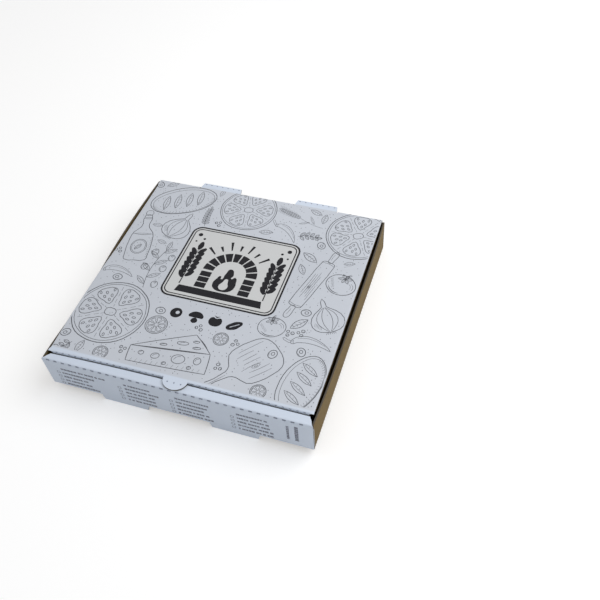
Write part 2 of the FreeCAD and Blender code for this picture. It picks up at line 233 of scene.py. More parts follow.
def shaded_cut_edge():
    """The board's cut edge: two paler liners with the open ends of the flutes between them, darkened as
    painted shade of their hollows; the whole edge is painted darker still, as shade of the narrow gaps where
    it shows.
    """
    material, shader, place, (x, y, z) = new_material("shaded_cut_edge", SHADED_EDGE_COLOUR, 0.85)
    # Painted shade in the flutes' open hollows: dark bands between the paler liners.
    cells = place.maths("SINE", (x + y + z) * FLUTE_TURN).between(-0.2, 0.7)
    rough = noise(place, 1400.0, 3.0, 0.7).between(0.3, 0.7)
    colour = (cells * 0.7 + rough * 0.3).vary(SHADED_EDGE_COLOUR, 0.55, 1.35)
    dress(shader, colour, None, cells + rough, 0.1 * MM, 0.6)
    return material


def slit_shade_coat():
    """Inside the scoring knife's slits: the coat's blue grey, darkened as painted shade of the slits'
    hollows.
    """
    material, shader, place, axes = new_material("slit_shade_coat", SLIT_SHADE_COLOUR, 0.7)
    dress(shader, paper_fleck(place).vary(SLIT_SHADE_COLOUR, 0.8, 1.25))
    return material


coat = coated_board("white_coat")
kraft = kraft_board()
edge = shaded_cut_edge()
slit_shade = slit_shade_coat()


def choose(*objects):
    """Selects these objects alone. The first becomes the active one."""
    bpy.ops.object.select_all(action="DESELECT")
    for chosen in objects:
        chosen.select_set(True)
    if objects:
        bpy.context.view_layer.objects.active = objects[0]


def start_sheet(name, low_x, high_x, low_y, high_y, height):
    """A flat rectangle of sheet, left open in edit mode."""
    choose()
    bpy.ops.mesh.primitive_plane_add(size=1, location=((low_x + high_x) / 2, (low_y + high_y) / 2, height))
    sheet = bpy.context.object
    sheet.name = name
    sheet.data.name = name
    sheet.scale = (high_x - low_x, high_y - low_y, 1)
    bpy.ops.object.transform_apply(location=True, rotation=True, scale=True)
    bpy.ops.object.mode_set(mode="EDIT")
    return sheet


def score(axis, places):
    """Cuts the whole sheet's faces along planes across one axis, without parting it."""
    normal = [0, 0, 0]
    normal[axis] = 1
    for place in places:
        point = [0, 0, 0]
        point[axis] = place
        bpy.ops.mesh.select_all(action="SELECT")
        bpy.ops.mesh.bisect(plane_co=point, plane_no=normal)


def pick(kind, test):
    """Selects the vertices, edges or faces whose middle passes the test."""
    bpy.ops.mesh.select_mode(type=kind)
    bpy.ops.mesh.select_all(action="DESELECT")
    data = bpy.context.object.data
    mesh = bmesh.from_edit_mesh(data)
    for item in {"VERT": mesh.verts, "EDGE": mesh.edges, "FACE": mesh.faces}[kind]:
        corners = [item] if kind == "VERT" else list(item.verts)
        middle = sum((corner.co for corner in corners), Vector()) / len(corners)
        if test(middle, all(abs(corner.co.z - middle.z) < TINY for corner in corners)):
            item.select_set(True)
    mesh.select_flush_mode()
    bmesh.update_edit_mesh(data)


def drop_faces(test):
    pick("FACE", test)
    bpy.ops.mesh.delete(type="FACE")


def extrude(move):
    bpy.ops.mesh.extrude_region_move(TRANSFORM_OT_translate={"value": move})


def near(value, place):
    return abs(value - place) < TOUCH


def in_pair(x, width):
    """Within a tongue of this width, at either of the two places of the feet, notches and tongues."""
    return abs(abs(x) - FOOT_SPACING / 2) < width / 2


def pair_edges(width):
    return [FOOT_SPACING / 2 - width / 2, FOOT_SPACING / 2 + width / 2]


def draw_in(half, distance, test):
    """Moves the vertices at half to the left and the right of the middle inwards, where the test holds."""
    for sign in (-1, 1):
        pick("VERT", lambda at, flat: test(at) and near(at.x, sign * half))
        bpy.ops.transform.translate(value=(-sign * distance, 0, 0))


def taper_pair(edges, distance, test):
    """Narrows the ends of the two tongues whose sides stand at these edges."""
    draw_in(edges[0], -distance, test)
    draw_in(edges[1], distance, test)


def along_wall(y):
    """-1 at the front, 0 in the middle and 1 at the back."""
    return (y - MIDDLE) / (BACK - FRONT) * 2


def left_share(x):
    return max(-x / HALF_WIDTH, 0) ** 2


def swell(along, middle):
    """1 along a broad stretch round the middle, and nothing further off."""
    return math.exp(-((along - middle) / 0.4) ** 4)


def round_folds(sheet):
    folds = sheet.modifiers.new("folds", "BEVEL")
    folds.width = FOLD
    folds.segments = FOLD_STEPS
    folds.limit_method = "ANGLE"
    folds.angle_limit = math.radians(45)
    folds.use_clamp_overlap = False
    bpy.ops.object.modifier_apply(modifier="folds")


def thicken(sheet, outer):
    """Gives the sheet its board's thickness, with its outer face, its inner face and its cut edge."""
    # The inner face and the cut edge take materials whose colours carry painted shade.
    for material in (outer, kraft, edge):
        sheet.data.materials.append(material)
    board = sheet.modifiers.new("board", "SOLIDIFY")
    board.thickness = BOARD - BOARD_SQUEEZE
    board.offset = -1
    board.material_offset = 1
    board.material_offset_rim = 2
    bpy.ops.object.modifier_apply(modifier="board")
    bpy.ops.object.shade_smooth_by_angle(angle=SMOOTH_BELOW)


def cut_slits(sheet, cuts):
    """Presses the scoring knife's cuts into the sheet, each given by its middle and its size."""
    blades = []
    for middle, size in cuts:
        bpy.ops.mesh.primitive_cube_add(size=1, location=middle)
        blades.append(bpy.context.object)
        bpy.context.object.scale = size
    choose(*blades[::-1])
    bpy.ops.object.transform_apply(location=True, rotation=True, scale=True)
    bpy.ops.object.join()
    knife = bpy.context.object
    # The slits' inner faces take the material of painted shade.
    knife.data.materials.append(slit_shade)
    choose(sheet)
    sheet.data.materials.append(slit_shade)
    slits = sheet.modifiers.new("slits", "BOOLEAN")
    slits.object = knife
    slits.solver = "FAST"
    bpy.ops.object.modifier_apply(modifier="slits")
    bpy.data.objects.remove(knife)


tray = start_sheet("tray_sheet", -HALF_WIDTH, HALF_WIDTH, FRONT, BACK, BASE)
bpy.ops.mesh.flip_normals()
foot_edges = pair_edges(FOOT_WIDTH)
score_lines = foot_edges + pair_edges(TAB_WIDTH) + [HALF_WIDTH - RELIEF]
score(0, [sign * place for sign in (-1, 1) for place in score_lines])
score(1, [FRONT + RELIEF, FRONT + SLOT_REACH, BACK - RELIEF])

pick("EDGE", lambda at, flat: near(at.y, FRONT))
extrude((0, 0, WALL_TOP - BASE))
pick("EDGE", lambda at, flat: near(abs(at.x), HALF_WIDTH - RELIEF) and near(at.y, FRONT) and not flat)
bpy.ops.mesh.dissolve_edges(use_verts=True)
reached = 0.0
inset = 0.0
for depth, narrowing in RIM_OUTLINE:
    level = FRONT + reached
    pick("EDGE", lambda at, flat: near(at.y, level) and near(at.z, WALL_TOP) and flat
         and not near(abs(at.x), HALF_WIDTH - inset))
    extrude((0, depth * MM - reached, 0))
    draw_in(HALF_WIDTH - inset, narrowing * MM - inset, lambda at: near(at.y, FRONT + depth * MM))
    reached = depth * MM
    inset = narrowing * MM
rim_back = FRONT + RIM_DEPTH
flap_foot = BASE + RELIEF
pick("EDGE", lambda at, flat: near(at.y, rim_back) and near(at.z, WALL_TOP))
extrude((0, -INNER_FLAP_LEAN, flap_foot - WALL_TOP))
pick("EDGE", lambda at, flat: near(at.z, flap_foot) and at.y > FRONT + BOARD and flat
     and in_pair(at.x, TAB_WIDTH))
extrude((0, 0, -RELIEF))

drop_faces(lambda at, flat: near(at.z, BASE) and flat and at.y < FRONT + SLOT_REACH
           and in_pair(at.x, FOOT_WIDTH))
pick("EDGE", lambda at, flat: near(at.z, BASE) and near(at.y, FRONT) and flat and in_pair(at.x, FOOT_WIDTH))
extrude((0, 0, -BASE))
taper_pair(foot_edges, FOOT_TAPER, lambda at: near(at.z, 0))

flap_low, flap_top = BASE + FLAP_LIFT, WALL_TOP - FLAP_DROP
for lower, upper in ((BASE, flap_low), (flap_low, flap_top), (flap_top, WALL_TOP)):
    pick("EDGE", lambda at, flat: near(abs(at.x), HALF_WIDTH) and near(at.z, lower) and flat
         and FRONT + RELIEF < at.y < BACK - RELIEF)
    extrude((0, 0, upper - lower))
for sign in (-1, 1):
    for end in (FRONT + RELIEF, BACK - RELIEF):
        pick("EDGE", lambda at, flat: near(at.x, sign * HALF_WIDTH) and near(at.y, end) and not flat
             and flap_low < at.z < flap_top)
        extrude((-sign * CORNER_FLAP, 0, 0))

for lower, upper in ((BASE, NOTCH_FLOOR), (NOTCH_FLOOR, CREASE_START)):
    pick("EDGE", lambda at, flat: near(at.y, BACK) and near(at.z, lower) and flat)
    extrude((0, 0, upper - lower))
drop_faces(lambda at, flat: near(at.y, BACK) and at.z > NOTCH_FLOOR and in_pair(at.x, FOOT_WIDTH))
drop_faces(lambda at, flat: near(at.z, BASE) and flat and abs(at.x) > HALF_WIDTH - RELIEF
           and not FRONT + RELIEF < at.y < BACK - RELIEF and at.y > FRONT + TINY)
pick("VERT", lambda at, flat: near(abs(at.x), HALF_WIDTH) and near(at.z, BASE)
     and (near(at.y, FRONT) or near(at.y, BACK)))
bpy.ops.transform.translate(value=(0, 0, FOLD))

columns = int(2 * HALF_WIDTH / PANEL_STEP)
rows = int((BACK - FRONT) / PANEL_STEP)
score(0, [(index / columns * 2 - 1) * HALF_WIDTH * COLUMN_SPREAD for index in range(1, columns)])
score(1, [FRONT + SLOT_REACH * 2 + index * PANEL_STEP for index in range(rows - 1)])
score(2, [BASE + part * (WALL_TOP - BASE) for part in (0.3, 0.55, 0.8)])
bpy.ops.object.mode_set(mode="OBJECT")
for vertex in tray.data.vertices:
    at = vertex.co
    height = max(at.z - BASE, 0) / (WALL_TOP - BASE)
    along = along_wall(at.y)
    if at.y < rim_back + TINY and at.z > flap_foot:
        behind_fold = (at.y - FRONT) / MM - RIM_OUTLINE[0][0]
        share = min(max(behind_fold / (RIM_OUTLINE[2][0] - RIM_OUTLINE[0][0]), 0), 1)
        at.y -= RIM_SKEW * left_share(at.x) * share
        if near(at.x, -HALF_WIDTH) and near(at.y, FRONT):
            at.x -= CORNER_FLARE * height
    if abs(at.x) > HALF_WIDTH - TINY:
        share = max(1 - abs(along) ** 4, 0)
        if at.x < 0:
            share *= 0.2 + 0.8 * min(max(along + 0.35, 0) / 0.7, 1)
            at.z -= WALL_DIP * height ** 4 * swell(along, -0.4)
        at.x += math.copysign(WALL_BOW * height * share, at.x)
        at.z += WALL_WAVE * height * math.sin(along * 5 + at.x * 9)
round_folds(tray)
thicken(tray, coat)
# Faces off the rim and the front wall take the kraft, whose brown carries painted shade.
for face in tray.data.polygons:
    on_rim = face.center.z > WALL_TOP - 2 * MM and face.normal.z > 0.3 and face.center.y < rim_back
    on_front = face.normal.y < -0.3 and face.center.y < rim_back
    if face.material_index == 0 and not on_rim and not on_front:
        face.material_index = 1
cut_slits(tray, [((RIM_CUT_FIRST + RIM_CUT_PITCH * cut, FRONT - RIM_CUT_OUT, WALL_TOP - RIM_CUT_DROP),
                  RIM_CUT_SIZE) for cut in range(RIM_CUTS)])
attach(tray, "tray")
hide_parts("tray")


# Lid: the printed panel with a front tuck flap, two side tuck flaps, the rounded thumb tongue that lies
# on the rim, and two tongues behind the hinge crease, cut out of the back wall. It is the same sheet as
# the tray, white-coated outside, and is held shut by its tuck flaps alone.
lid_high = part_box("lid")[1]
LID_TOP = lid_high[2]
LID_HALF = lid_high[0]
LID_FRONT = FRONT + RIM_DEPTH + 0.8 * MM
SIDE_TUCK = 34 * MM
SIDE_TUCK_RELIEF = 4 * MM
SIDE_TUCK_TAPER = 16 * MM
SIDE_TUCK_LEAN = 4 * MM
FRONT_TUCK = 31 * MM
FRONT_TUCK_LEAN = 2.8 * MM
FRONT_TUCK_RELIEF = 4 * MM
FRONT_TUCK_TAPER = 8 * MM
HINGE_RELIEF = 9 * MM
HINGE_GAP = 2.6 * MM
TONGUE_WIDTH = 49 * MM
TONGUE_TAPER = 2 * MM
TONGUE_END = lid_high[1]
THUMB_HALF = 12 * MM
THUMB_REACH = LID_FRONT - FRONT
THUMB_STEPS = 9
CROWN = 0.5 * MM
EDGE_BULGE = 1.6 * MM
LID_CUTS = 38
LID_CUT_PITCH = 6.6 * MM
LID_CUT_SIZE = (2.2 * MM, 1.6 * MM, 0.8 * MM)
TONGUE_DOT_SIZE = (1.5 * MM, 1.0 * MM, 1.2 * MM)
THUMB_DOT_SIZE = (1.3 * MM, 1.3 * MM, 1.2 * MM)
PRINTED_COLOUR = (0.612, 0.645, 0.708)
PRINT_MARGIN = 4.5 * MM
PRINT_FADE = 1.5 * MM


def printed_panel(bare, even, y):
    """The coat is greyer where the pattern is printed than along the lid's front and on its tongues."""
    start = FRONT + RIM_DEPTH + PRINT_MARGIN
    inside = y.between(start - PRINT_FADE, start) * y.between(BACK, BACK - PRINT_FADE)
    return inside.mix(bare, even.vary(PRINTED_COLOUR, 0.955, 1.035))


def lid_rise(x, y):
    """How far the lid's panel bulges above a flat sheet."""
    across = 1 - (x / LID_HALF) ** 2
    along = 1 - ((y - MIDDLE) / (BACK - MIDDLE)) ** 2
    ripple = math.sin(x * 31 + 1.2) * math.sin(y * 27 + 0.4)
    return CROWN * max(across, 0) * max(along, 0) * (1 + 0.25 * ripple)


lid_coat = coated_board("lid_coat", printed_panel)
lid = start_sheet("lid_sheet", -LID_HALF, LID_HALF, LID_FRONT, BACK - HINGE_GAP, LID_TOP)
tongue_edges = pair_edges(TONGUE_WIDTH)
thumb_columns = [THUMB_HALF * math.cos(math.pi * step / 2 / THUMB_STEPS) for step in range(THUMB_STEPS)]
tuck_half = LID_HALF - FRONT_TUCK_RELIEF
tuck_start, tuck_end = LID_FRONT + SIDE_TUCK_RELIEF, BACK - HINGE_RELIEF
score(0, [0] + [sign * place for sign in (-1, 1) for place in tongue_edges + thumb_columns + [tuck_half]])
score(1, [tuck_start, tuck_end])

pick("EDGE", lambda at, flat: near(abs(at.x), LID_HALF) and flat and tuck_start < at.y < tuck_end)
extrude((0, 0, -SIDE_TUCK))
for place, inward in ((tuck_start, 1), (tuck_end, -1)):
    pick("VERT", lambda at, flat: near(at.z, LID_TOP - SIDE_TUCK) and near(at.y, place))
    bpy.ops.transform.translate(value=(0, inward * SIDE_TUCK_TAPER, 0))
draw_in(LID_HALF, SIDE_TUCK_LEAN, lambda at: near(at.z, LID_TOP - SIDE_TUCK))

thumb_drop = THUMB_REACH + 0.4 * MM
lean = FRONT_TUCK_LEAN * thumb_drop / FRONT_TUCK
pick("EDGE", lambda at, flat: near(at.y, LID_FRONT) and near(at.z, LID_TOP) and abs(at.x) < tuck_half)
extrude((0, lean, -thumb_drop))
pick("EDGE", lambda at, flat: near(at.z, LID_TOP - thumb_drop) and flat and at.y < LID_FRONT + 2 * lean)
extrude((0, FRONT_TUCK_LEAN - lean, thumb_drop - FRONT_TUCK))
draw_in(tuck_half, FRONT_TUCK_TAPER, lambda at: near(at.z, LID_TOP - FRONT_TUCK))
drop_faces(lambda at, flat: LID_TOP - thumb_drop < at.z < LID_TOP and abs(at.x) < THUMB_HALF
           and at.y < LID_FRONT + lean and not flat)
bpy.ops.object.mode_set(mode="OBJECT")
for vertex in lid.data.vertices:
    at = vertex.co
    if abs(at.x) < THUMB_HALF + TINY and near(at.z, LID_TOP - thumb_drop):
        share = math.sqrt(max(1 - (at.x / THUMB_HALF) ** 2, 0))
        at.z = LID_TOP - thumb_drop * share
        at.y = LID_FRONT + lean * share
bpy.ops.object.mode_set(mode="EDIT")
bpy.ops.mesh.select_all(action="SELECT")
bpy.ops.mesh.remove_doubles(threshold=TINY)

for step in range(THUMB_STEPS):
    turn, next_turn = (math.pi / 2 * part / (THUMB_STEPS + 0.4) for part in (step, step + 1))
    level = LID_FRONT - THUMB_REACH * math.sin(turn)
    pick("EDGE", lambda at, flat: near(at.y, level) and near(at.z, LID_TOP) and abs(at.x) < THUMB_HALF)
    extrude((0, THUMB_REACH * (math.sin(turn) - math.sin(next_turn)), 0))
    narrower = math.cos(next_turn) / math.cos(turn)
    bpy.ops.transform.resize(value=(narrower, 1, 1), center_override=(0, level, LID_TOP))

pick("EDGE", lambda at, flat: near(at.y, BACK - HINGE_GAP) and flat and in_pair(at.x, TONGUE_WIDTH))
extrude((0, TONGUE_END - BACK + HINGE_GAP, 0))
taper_pair(tongue_edges, TONGUE_TAPER, lambda at: near(at.y, TONGUE_END))

score(0, [(index / columns * 2 - 1) * LID_HALF * COLUMN_SPREAD for index in range(1, columns)])
score(1, [LID_FRONT + PANEL_STEP * (index + 0.7) for index in range(rows)])
bpy.ops.object.mode_set(mode="OBJECT")
for vertex in lid.data.vertices:
    at = vertex.co
    along = along_wall(at.y)
    at.y -= RIM_SKEW * left_share(at.x) * max(MIDDLE - at.y, 0) / (MIDDLE - LID_FRONT)
    if at.x < -LID_HALF + 1 * MM and at.z > LID_TOP - 1 * MM:
        at.x -= EDGE_BULGE * swell(along, -0.35)
    at.z += lid_rise(at.x, at.y)
round_folds(lid)
thicken(lid, lid_coat)
for face in lid.data.polygons:
    if face.material_index == 0 and face.center.z < LID_TOP - 1.6 * MM and abs(face.normal.x) > 0.5:
        face.material_index = 1
cuts = []
for cut in range(LID_CUTS):
    x = (cut - (LID_CUTS - 1) / 2) * LID_CUT_PITCH
    if abs(x) > THUMB_HALF + 2 * MM:
        y = LID_FRONT + 0.2 * MM - RIM_SKEW * left_share(x)
        cuts.append(((x, y, LID_TOP - 1.0 * MM), LID_CUT_SIZE))
for sign in (-1, 1):
    for dot in range(-3, 4):
        x = sign * FOOT_SPACING / 2 + dot * LID_CUT_PITCH
        cuts.append(((x, TONGUE_END - 1.8 * MM, LID_TOP), TONGUE_DOT_SIZE))
for dot in (-1, 0, 1):
    cuts.append(((dot * LID_CUT_PITCH, LID_FRONT - 3.6 * MM, LID_TOP), THUMB_DOT_SIZE))
cut_slits(lid, cuts)
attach(lid, "lid")
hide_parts("lid")


# Hinge: the crease between the back wall and the lid, the same board rounded over by scoring.
# The two tongues cut it into three stretches.
CREASE_RUNS = [(-LID_HALF, -foot_edges[1]), (-foot_edges[0], foot_edges[0]), (foot_edges[1], LID_HALF)]
CREASE_TURNS = 5
CREASE_PARTS = 6
for index, (left, right) in enumerate(CREASE_RUNS):
    crease = start_sheet("hinge_crease_%d" % (index + 1), left, right, BACK - 1 * MM, BACK, CREASE_START)
    bpy.ops.mesh.flip_normals()
    pick("EDGE", lambda at, flat: near(at.y, BACK))
    extrude((0, 0, LID_TOP - FOLD - CREASE_START))
    reached = (BACK, LID_TOP - FOLD)
    for turn in range(1, CREASE_TURNS + 1):
        bend = math.pi / 2 * turn / CREASE_TURNS
        place = (BACK - FOLD + FOLD * math.cos(bend), LID_TOP - FOLD + FOLD * math.sin(bend))
        extrude((0, place[0] - reached[0], place[1] - reached[1]))
        reached = place
    extrude((0, FOLD - HINGE_GAP, 0))
    drop_faces(lambda at, flat: near(at.z, CREASE_START) and flat)
    score(0, [left + (right - left) * part / CREASE_PARTS for part in range(1, CREASE_PARTS)])
    bpy.ops.object.mode_set(mode="OBJECT")
    for vertex in crease.data.vertices:
        at = vertex.co
        at.z += lid_rise(at.x, at.y) * (at.z - CREASE_START) / (LID_TOP - CREASE_START)
    thicken(crease, lid_coat)
    for face in crease.data.polygons:
        if face.material_index == 0 and face.center.z < LID_TOP - 0.6 * MM:
            face.material_index = 1
    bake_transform(crease)


# Print on the lid: a loose pattern of kitchen things in thin dark lines, printed flat on the white coat.
# Each drawing is made once as strokes in millimetres and laid down where it is wanted. A stroke is
# whether it closes, its points, and its weight.
INK_COLOUR = (0.110, 0.115, 0.130)
INK_GLOSS = 0.15
INK_RISE = 0.03 * MM
INK_FLATNESS = 0.22
LINE_WIDTH = 0.60
LINE_END = 0.75
SMALL_OF_EACH = 8
SMALL_TRIES = 420
DOT_TRIES = 1500
DOT_HALF = 0.28
dice = random.Random(7)


def ink_material(name, colour):
    material, shader, place, (x, y, z) = new_material(name, colour, 0.6, INK_GLOSS)
    worn = noise(place, 700.0, 3.0, 0.7).between(0.45, 0.75)
    dress(shader, worn.vary(colour, 0.9, 1.9), worn * 0.1 + 0.55, washboard(place, y), 0.04 * MM, 0.4)
    return material


def turned(x, y, side, up, turn):
    """The point that lies side and up from x and y in a drawing that is turned."""
    return x + side * math.cos(turn) - up * math.sin(turn), y + side * math.sin(turn) + up * math.cos(turn)


def polar(radius, angle):
    return radius * math.cos(angle), radius * math.sin(angle)


def oval(x, y, across, along, turn, count, rough, weight):
    points = []
    for step in range(count):
        angle = 2 * math.pi * step / count
        grown = 1 + rough * dice.uniform(-1, 1)
        points.append(turned(x, y, across * grown * math.cos(angle), along * grown * math.sin(angle), turn))
    return True, points, weight


def bow(x, y, to_x, to_y, bulge, weight):
    """A stroke from one point to another that swells sideways by bulge."""
    run_x, run_y = to_x - x, to_y - y
    length = math.hypot(run_x, run_y)
    points = []
    for part in (0.0, 0.25, 0.5, 0.75, 1.0):
        out = bulge * 4 * part * (1 - part)
        points.append((x + run_x * part - run_y / length * out, y + run_y * part + run_x / length * out))
    return False, points if bulge else [points[0], points[-1]], weight


def leaf(x, y, length, width, turn, veins):
    tip_x, tip_y = x + length * math.cos(turn), y + length * math.sin(turn)
    strokes = [bow(x, y, tip_x, tip_y, width / 2, 1.0), bow(x, y, tip_x, tip_y, -width / 2, 1.0),
               bow(x, y, x + (tip_x - x) * 0.88, y + (tip_y - y) * 0.88, width * 0.06, 0.7)]
    for vein in range(veins):
        part = (vein + 1) / (veins + 1.2)
        reach = width * 0.36 * math.sqrt(part * (1 - part)) * 2
        from_x, from_y = x + (tip_x - x) * part, y + (tip_y - y) * part
        for angle in (turn - 0.9, turn + 0.9):
            strokes.append(bow(from_x, from_y, from_x + reach * math.cos(angle),
                               from_y + reach * math.sin(angle), 0, 0.6))
    return strokes


def tomato_slice(radius):
    strokes = [oval(0, 0, radius, radius, 0, 20, 0.012, 1.3),
               oval(0, 0, radius * 0.93, radius * 0.93, 0, 20, 0.01, 0.8)]
    shape = ((0.27, 0), (0.45, -17), (0.68, -23), (0.82, -17), (0.86, 0), (0.82, 17), (0.68, 23), (0.45, 17))
    for cell in range(6):
        middle = math.radians(60 * cell + dice.uniform(-4, 4))
        outline = [polar(radius * reach * dice.uniform(0.97, 1.02), middle + math.radians(side))
                   for reach, side in shape]
        strokes.append((True, outline, 1.0))
        for reach, side in ((0.42, 0), (0.55, -10), (0.57, 9), (0.68, 0), (0.74, -13), (0.76, 12)):
            angle = middle + math.radians(side + dice.uniform(-2, 2))
            seed = polar(radius * reach, angle)
            strokes.append(oval(*seed, radius * 0.05, radius * 0.026, angle, 6, 0.0, 0.9))
        between = middle + math.radians(30)
        for reach in (0.3, 0.52, 0.72):
            start, end = polar(radius * reach, between), polar(radius * (reach + 0.13), between)
            strokes.append(bow(*start, *end, 0, 0.7))
    strokes.append(oval(0, 0, radius * 0.15, radius * 0.13, 0, 8, 0.12, 1.0))
    for spoke in range(6):
        angle = math.radians(60 * spoke + 30)
        strokes.append(bow(*polar(radius * 0.17, angle), *polar(radius * 0.26, angle), 0, 0.7))
    return strokes


def cheese_wedge():
    strokes = []
    for points in ([(-38, -2), (20, 17), (38, -3)], [(-38, -2), (38, -3), (38, -25), (-38, -19)]):
        strokes += [bow(*start, *end, 0.4, 1.2) for start, end in zip(points, points[1:] + points[:1])]
    strokes.append(bow(22, 14.5, 36, -1, 1.2, 0.8))
    for x, y, across, along in ((-12, -11, 4, 3), (10, -12, 6.5, 5), (28, -12, 3.4, 4), (-26, -9, 2.6, 2.2),
                                (-2, -18, 2, 1.5), (22, -20, 2, 1.6), (10, 6, 5.5, 2), (22, 9, 3, 1.2),
                                (-8, 2.5, 3.5, 1.2), (24, 2, 4, 1.3)):
        strokes.append(oval(x, y, across, along, 0, 8, 0.05, 1.0))
        strokes.append(bow(x - across * 0.6, y - along * 0.2, x + across * 0.3, y + along * 0.65,
                           along * 0.25, 0.7))
    for step in range(14):
        x = -34 + step * 5
        strokes.append(bow(x, -19 - step * 0.35, x + 1.4, -16 - step * 0.35, 0, 0.6))
    return strokes


def wheat_ear():
    strokes = [bow(0, -56, 0, 4, 3, 1.2)]
    for row in range(9):
        y = 2 + row * 5.6
        size = 1 - abs(row - 3) * 0.06
        for side in (-1, 1):
            turn = math.pi / 2 - side * 0.42
            strokes += leaf(side * 1.2, y + (side > 0) * 1.5, 9.5 * size, 4.6 * size, turn, 1)
            tip_x, tip_y = side * 1.2 + 9.5 * size * math.cos(turn), y + 9.5 * size * math.sin(turn)
            strokes.append(bow(tip_x, tip_y, tip_x + side * 6, tip_y + 14 * size, side * 1, 0.6))
    return strokes + (leaf(0, 51, 9, 4, math.pi / 2, 1) + leaf(0, -34, 26, 5, 0.9, 0)
                      + leaf(0, -22, 24, 5, math.pi - 0.8, 0))


def rolling_pin():
    strokes = [(True, [(-34, 8), (-37, 7), (-38, 3), (-38, -3), (-37, -7), (-34, -8), (0, -8.4), (34, -8),
                       (37, -7), (38, -3), (38, 3), (37, 7), (34, 8), (0, 8.4)], 1.2)]
    handle = [(38, 2.4), (43, 3), (50, 3.8), (55, 2.6), (56.5, 0), (55, -2.6), (50, -3.8), (43, -3),
              (38, -2.4)]
    for side in (-1, 1):
        strokes += [(True, [(side * x, y) for x, y in handle], 1.1),
                    bow(side * 34.5, 7.6, side * 34.5, -7.6, side * 1.2, 0.8),
                    bow(side * 42, 0.6, side * 52, 0.9, 0.4, 0.6)]
    for y in (-5.4, -3.1, -0.6, 2.0, 4.6):
        start = dice.uniform(-30, -12)
        strokes.append(bow(start, y, start + dice.uniform(18, 40), y + 0.4, dice.uniform(-0.7, 0.7), 0.7))
    return strokes + [oval(-6, 1, 3.4, 1.1, 0, 8, 0.04, 0.7), oval(-6, 1, 1.4, 0.5, 0, 6, 0.04, 0.7)]


def garlic():
    outline = [(0, 27), (2.6, 16), (11, 9), (17, -2), (14, -12), (5, -16.5), (-5, -16.5), (-14, -12),
               (-17, -2), (-11, 9), (-2.6, 16)]
    strokes = [(True, outline, 1.2)]
    for bulge in (-9.5, -4.5, 4.5, 9.5):
        strokes.append(bow(bulge * 0.16, -16, bulge * 0.1, 15, -bulge, 0.9))
    for step in range(6):
        strokes += [bow(-3.5 + step * 1.4, -16.6, -5 + step * 2, -19.6, 0.2, 0.7),
                    bow(-14.5 + step * 1.1, -7 - step * 1.1, -12.8 + step * 1.1, -3 - step * 1.1, 0, 0.6)]
    return strokes


def loaf():
    strokes = [oval(0, 0, 37, 21, 0, 16, 0.015, 1.3), oval(0, -1.5, 34.5, 18.5, 0, 16, 0.012, 0.7)]
    for x in (-19, -6.5, 6.5, 19):
        strokes += leaf(x - 4, -11, 23, 6.5, math.radians(70), 0)
        for step in range(4):
            strokes.append(bow(x - 3.5 + step * 2, -7 + step * 4.4,
                               x - 0.8 + step * 2, -6.6 + step * 4.4, 0, 0.6))
    for step in range(26):
        angle = math.radians(190 + step * 6.4)
        side, up = math.cos(angle), math.sin(angle)
        strokes.append(bow(36 * side, 20 * up, 32 * side, 17 * up, 0, 0.6))
    return strokes


def chilli():
    spine = [(-26, 5), (-18, 7.5), (-8, 7), (2, 3.5), (11, -2), (18, -8), (24, -15)]
    body = list(zip(spine, [3.2, 4.8, 5.2, 4.7, 3.7, 2.4, 0.3]))
    upper = [(x + thick * 0.35, y + thick) for (x, y), thick in body]
    lower = [(x - thick * 0.35, y - thick) for (x, y), thick in body]
    return [(True, upper + lower[::-1], 1.2),
            (False, [(x + thick * 0.1, y + thick * 0.4) for (x, y), thick in body[1:6]], 0.8),
            (False, [(-26, 8.5), (-23.5, 6.5), (-24.5, 4), (-23, 2), (-26, 1.2)], 1.0),
            (True, [(-27, 6.4), (-31, 8.5), (-36, 13), (-37.5, 12), (-33, 6.5), (-27.5, 3.6)], 1.0)]


def olive_sprig():
    strokes = [bow(-30, -9, 30, 9, 5, 1.1)]
    for part, side in ((0.08, 1), (0.24, -1), (0.4, 1), (0.58, -1), (0.74, 1), (0.92, -1)):
        x, y = -30 + 60 * part, -9 + 18 * part + 5 * 4 * part * (1 - part)
        strokes += leaf(x, y, 17, 5.6, 0.3 + side * 0.95, 2)
    strokes += leaf(30, 9, 16, 5.2, 0.25, 2)
    for x, y in ((-19, -16.5), (-4, 13.5), (5, -8), (21, 19), (24, -5)):
        strokes += [oval(x, y, 5, 4.1, 0.4, 10, 0.02, 1.2), oval(x + 2.6, y + 1, 1, 1.2, 0.4, 6, 0.0, 0.9),
                    bow(x - 3.4, y, x - 0.8, y + 2.6, 0.7, 0.6)]
    return strokes


def oil_bottle():
    outline = [(-12, -36), (-13, -30), (-13, -4), (-11, 6), (-5, 14), (-3.8, 20), (-3.8, 34), (3.8, 34),
               (3.8, 20), (5, 14), (11, 6), (13, -4), (13, -30), (12, -36), (0, -37)]
    strokes = [(True, outline, 1.2), (True, [(-3, 34.5), (-3.6, 41), (0, 42), (3.6, 41), (3, 34.5)], 1.0),
               bow(-4.6, 31, 4.6, 31, -0.6, 0.9), bow(-4.6, 28.8, 4.6, 28.8, -0.6, 0.9),
               bow(-10.6, 4, 10.6, 4, -1.6, 0.9), bow(-11.4, 3.5, 11.4, 3.5, 1.2, 0.7),
               oval(0, -16, 9, 11, 0, 12, 0.0, 1.0), oval(0, -16, 7.6, 9.5, 0, 12, 0.0, 0.7)]
    strokes += leaf(-4, -21, 11, 4, 0.9, 2)
    return strokes + [bow(10.8, -32 + step * 3.6, 12.6, -30 + step * 3.6, 0, 0.6) for step in range(9)]


